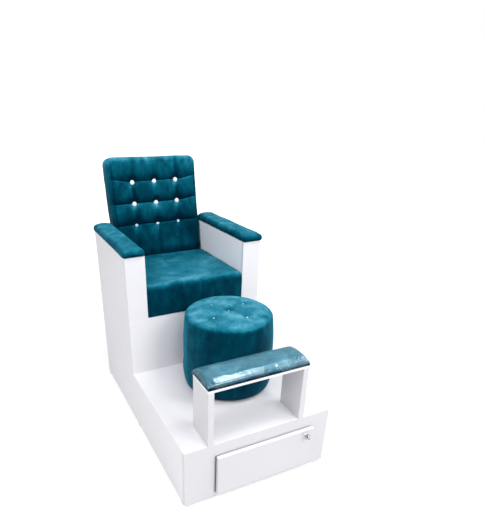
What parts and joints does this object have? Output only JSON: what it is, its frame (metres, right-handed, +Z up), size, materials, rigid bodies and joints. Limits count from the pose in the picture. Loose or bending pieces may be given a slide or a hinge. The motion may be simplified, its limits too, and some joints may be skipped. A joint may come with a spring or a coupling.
{
  "type": "pedicure bench",
  "caption": "White boxed pedicure bench: raised armchair with tufted velvet back, deck with padded arch footrest and loose round stool, hinged storage door in front.",
  "frame": {"origin": "middle of the whole bench at floor level", "axes": "-Y is the front, with the footrest and the door; +Y is the back of the chair; +X is to the right seen from the front; +Z is up"},
  "size_m": [0.722, 1.3542, 1.2464],
  "materials": {
    "white_lacquer": "white satin lacquer over board",
    "door_lacquer": "white satin lacquer over board",
    "inner_board": "white melamine board",
    "plywood": "bare birch plywood",
    "teal_velvet": "teal velvet over foam",
    "rear_velvet": "teal velvet stretched over thin board",
    "clear_film": "clear glossy film",
    "crystal": "clear cut crystal",
    "polished_metal": "polished",
    "hinge_steel": "nickel-plated steel",
    "screw_steel": "zinc-plated steel",
    "foot_plastic": "pale grey moulded",
    "glide_plastic": "black moulded"
  },
  "bodies": {
    "platform": {"arm_left_front_panel": "white_lacquer", "arm_left_inner_panel": "white_lacquer", "arm_left_outer_panel": "white_lacquer", "arm_left_pad": "teal_velvet", "arm_left_rear_panel": "white_lacquer", "arm_left_top_board": "inner_board", "arm_right_front_panel": "white_lacquer", "arm_right_inner_panel": "white_lacquer", "arm_right_outer_panel": "white_lacquer", "arm_right_pad": "teal_velvet", "arm_right_rear_panel": "white_lacquer", "arm_right_top_board": "inner_board", "back_board": "plywood", "back_bolts": "screw_steel", "back_buttons": "crystal", "back_cushion": "teal_velvet", "back_fixing_blocks": "plywood", "back_rear_cover": "rear_velvet", "base_back_panel": "white_lacquer", "base_bottom_panel": "inner_board", "base_front_panel": "white_lacquer", "base_left_side": "white_lacquer", "base_right_side": "white_lacquer", "catch_magnet": "polished_metal", "compartment_left_wall": "inner_board", "compartment_rear_wall": "inner_board", "compartment_right_wall": "inner_board", "deck_panel": "white_lacquer", "deck_rear_rail": "inner_board", "feet": "foot_plastic", "footrest_film_cover": "clear_film", "footrest_left_leg": "white_lacquer", "footrest_leg_screws": "screw_steel", "footrest_pad": "teal_velvet", "footrest_right_leg": "white_lacquer", "footrest_top_board": "white_lacquer", "hinge_fixed_leaf": "hinge_steel", "hinge_fixed_screws": "screw_steel", "hinge_pin": "hinge_steel", "riser_front_panel": "white_lacquer", "riser_top_panel": "white_lacquer", "seat_board": "plywood", "seat_cushion": "teal_velvet", "seat_front_rail": "plywood", "seat_left_rail": "plywood", "seat_rear_rail": "plywood", "seat_right_rail": "plywood"},
    "door": {"door_panel": "door_lacquer", "hinge_door_leaf": "hinge_steel", "hinge_door_screws": "screw_steel", "knob_base": "polished_metal", "knob_screw": "screw_steel", "knob_crystal": "crystal", "catch_strike_plate": "hinge_steel"},
    "stool": {"stool_drum": "teal_velvet", "stool_core_tube": "plywood", "stool_core_disc": "plywood", "stool_base_board": "plywood", "stool_glides": "glide_plastic", "stool_buttons": "crystal"}
  },
  "joints": [
    {"name": "door_hinge", "type": "hinge", "parent": "platform", "child": "door", "pos_m": [-0.2118, -0.62765, 0.1365], "axis": [0, 0, -1], "range_deg": [0, 100]},
    {"name": "stool_lift", "type": "slide", "parent": "platform", "child": "stool", "axis": [0, 0, 1], "range_m": [0, 0.4]}
  ]
}
